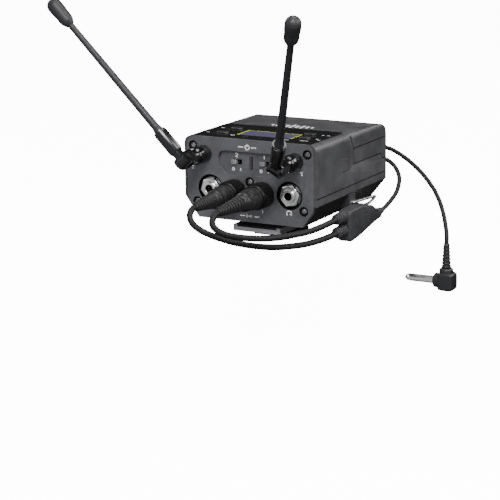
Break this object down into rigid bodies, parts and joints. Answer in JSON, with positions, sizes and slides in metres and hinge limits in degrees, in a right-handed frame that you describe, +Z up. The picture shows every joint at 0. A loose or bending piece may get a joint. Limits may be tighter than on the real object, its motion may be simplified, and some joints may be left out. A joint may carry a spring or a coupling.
{
  "type": "wireless receiver unit",
  "caption": "Two-channel wireless audio receiver for a camera shoe: flat metal case, twin swivel whip antennas, jacks, locking outputs, Y cable and sliding foot.",
  "frame": {"origin": "centre of the bottom face of the foot that slides into an accessory shoe", "axes": "+Z up out of the shoe, front panel and plugs facing -Y, +X to the right seen from the front"},
  "size_m": [0.1623, 0.1669, 0.1393],
  "materials": {
    "panel_paint": "satin mid-grey metallic paint",
    "case_paint": "satin dark grey paint",
    "lid_paint": "satin dark grey moulded plastic",
    "cover_black": "fine-textured black plastic",
    "display_gloss": "gloss black window plate",
    "lcd_yellow": "yellow-green display frame",
    "lcd_glass": "violet-grey liquid crystal glass",
    "button_rubber": "soft dark grey buttons",
    "knob_grey": "light grey switch knobs",
    "chrome": "bright nickel plate",
    "steel": "bright steel",
    "collar_black": "knurled black-plated collar",
    "plug_black": "satin black moulding",
    "antenna_gloss": "gloss black antenna fittings",
    "mast_rubber": "matte dark grey antenna rubber",
    "foot_metal": "black anodised foot",
    "cord_rubber": "satin near-black cord jacket",
    "board_green": "green circuit board",
    "can_steel": "tinned shielding cans",
    "cell_wrap": "plain blue-grey cell wrap"
  },
  "bodies": {
    "receiver": {"front_panel": "panel_paint", "case_frame": "case_paint", "lower_band": "case_paint", "bottom_cover": "cover_black", "adapter_plate": "cover_black", "adapter_block": "cover_black", "battery_tray": "cover_black", "jack_bodies": "cover_black", "power_switch_bodies": "cover_black", "antenna_bushes": "cover_black", "display_panel": "display_gloss", "indicator_lenses": "display_gloss", "lcd_frame": "lcd_yellow", "lcd_glass": "lcd_glass", "jack_sleeves": "chrome", "jack_nuts": "chrome", "output_sockets": "chrome", "camera_plug_pin": "chrome", "panel_screws": "steel", "adapter_screws": "steel", "lid_hinge_pin": "steel", "battery_contacts": "steel", "output_plug_1": "plug_black", "output_plug_2": "plug_black", "camera_plug": "plug_black", "shoe_foot": "foot_metal", "output_lead_1": "cord_rubber", "output_lead_2": "cord_rubber", "tail_cord": "cord_rubber", "plug_relief_1": "cord_rubber", "plug_relief_2": "cord_rubber", "camera_plug_relief": "cord_rubber", "y_block": "cord_rubber", "display_board": "board_green", "main_board": "board_green", "tuner_cans": "can_steel", "battery_cells": "cell_wrap"},
    "battery_lid": {"battery_lid": "lid_paint", "lid_skirt": "lid_paint"},
    "latch_left": {"latch_left": "lid_paint"},
    "latch_right": {"latch_right": "lid_paint"},
    "power_knob_1": {"power_knob_1": "knob_grey"},
    "power_knob_2": {"power_knob_2": "knob_grey"},
    "menu_button_1": {"menu_button_1": "button_rubber"},
    "menu_button_2": {"menu_button_2": "button_rubber"},
    "menu_button_3": {"menu_button_3": "button_rubber"},
    "menu_button_4": {"menu_button_4": "button_rubber"},
    "lock_collar_1": {"lock_collar_1": "collar_black"},
    "lock_collar_2": {"lock_collar_2": "collar_black"},
    "antenna_base_left": {"antenna_base_left": "antenna_gloss", "antenna_pin_left": "steel"},
    "antenna_base_right": {"antenna_base_right": "antenna_gloss", "antenna_pin_right": "steel"},
    "antenna_mast_left": {"antenna_sleeve_left": "antenna_gloss", "antenna_mast_left": "mast_rubber", "antenna_tip_left": "mast_rubber"},
    "antenna_mast_right": {"antenna_sleeve_right": "antenna_gloss", "antenna_mast_right": "mast_rubber", "antenna_tip_right": "mast_rubber"},
    "belt_clip": {"belt_clip": "steel"}
  },
  "joints": [
    {"name": "antenna_left_swivel", "type": "hinge", "parent": "receiver", "child": "antenna_base_left", "pos_m": [-0.0227, -0.048, 0.0395], "axis": [0, 1, 0], "range_deg": [-45, 45]},
    {"name": "antenna_left_tilt", "type": "hinge", "parent": "antenna_base_left", "child": "antenna_mast_left", "pos_m": [-0.0227, -0.048, 0.0395], "axis": [0.7071, 0, 0.7071], "range_deg": [0, 90]},
    {"name": "antenna_right_swivel", "type": "hinge", "parent": "receiver", "child": "antenna_base_right", "pos_m": [0.0227, -0.048, 0.0395], "axis": [0, 1, 0], "range_deg": [-26, 64]},
    {"name": "antenna_right_tilt", "type": "hinge", "parent": "antenna_base_right", "child": "antenna_mast_right", "pos_m": [0.0227, -0.048, 0.0395], "axis": [0.8988, 0, -0.4384], "range_deg": [-32.5, 57.5]},
    {"name": "power_switch_1", "type": "slide", "parent": "receiver", "child": "power_knob_1", "axis": [1, 0, 0], "range_m": [0, 0.0023]},
    {"name": "power_switch_2", "type": "slide", "parent": "receiver", "child": "power_knob_2", "axis": [1, 0, 0], "range_m": [0, 0.0023]},
    {"name": "menu_button_1_press", "type": "slide", "parent": "receiver", "child": "menu_button_1", "axis": [0, 0, -1], "range_m": [0, 0.0004], "stiffness_N_per_m": 300, "springref_m": -0.0003},
    {"name": "menu_button_2_press", "type": "slide", "parent": "receiver", "child": "menu_button_2", "axis": [0, 0, -1], "range_m": [0, 0.0004], "stiffness_N_per_m": 300, "springref_m": -0.0003},
    {"name": "menu_button_3_press", "type": "slide", "parent": "receiver", "child": "menu_button_3", "axis": [0, 0, -1], "range_m": [0, 0.0004], "stiffness_N_per_m": 300, "springref_m": -0.0003},
    {"name": "menu_button_4_press", "type": "slide", "parent": "receiver", "child": "menu_button_4", "axis": [0, 0, -1], "range_m": [0, 0.0004], "stiffness_N_per_m": 300, "springref_m": -0.0003},
    {"name": "latch_left_press", "type": "slide", "parent": "receiver", "child": "latch_left", "axis": [1, 0, 0], "range_m": [0, 0.0008], "stiffness_N_per_m": 300, "springref_m": -0.0003},
    {"name": "latch_right_press", "type": "slide", "parent": "receiver", "child": "latch_right", "axis": [-1, 0, 0], "range_m": [0, 0.0008], "stiffness_N_per_m": 300, "springref_m": -0.0003},
    {"name": "battery_lid_hinge", "type": "hinge", "parent": "receiver", "child": "battery_lid", "pos_m": [0, 0.0405, 0.0299], "axis": [-1, 0, 0], "range_deg": [0, 90]},
    {"name": "lock_collar_1_turn", "type": "hinge", "parent": "receiver", "child": "lock_collar_1", "pos_m": [0.0069, -0.035, 0.0238], "axis": [0, -1, 0], "range_deg": [0, 360]},
    {"name": "lock_collar_2_turn", "type": "hinge", "parent": "receiver", "child": "lock_collar_2", "pos_m": [-0.0069, -0.035, 0.0238], "axis": [0, -1, 0], "range_deg": [0, 360]},
    {"name": "belt_clip_swing", "type": "hinge", "parent": "receiver", "child": "belt_clip", "pos_m": [0, 0.006, 0.0154], "axis": [-1, 0, 0], "range_deg": [0, 75]}
  ]
}
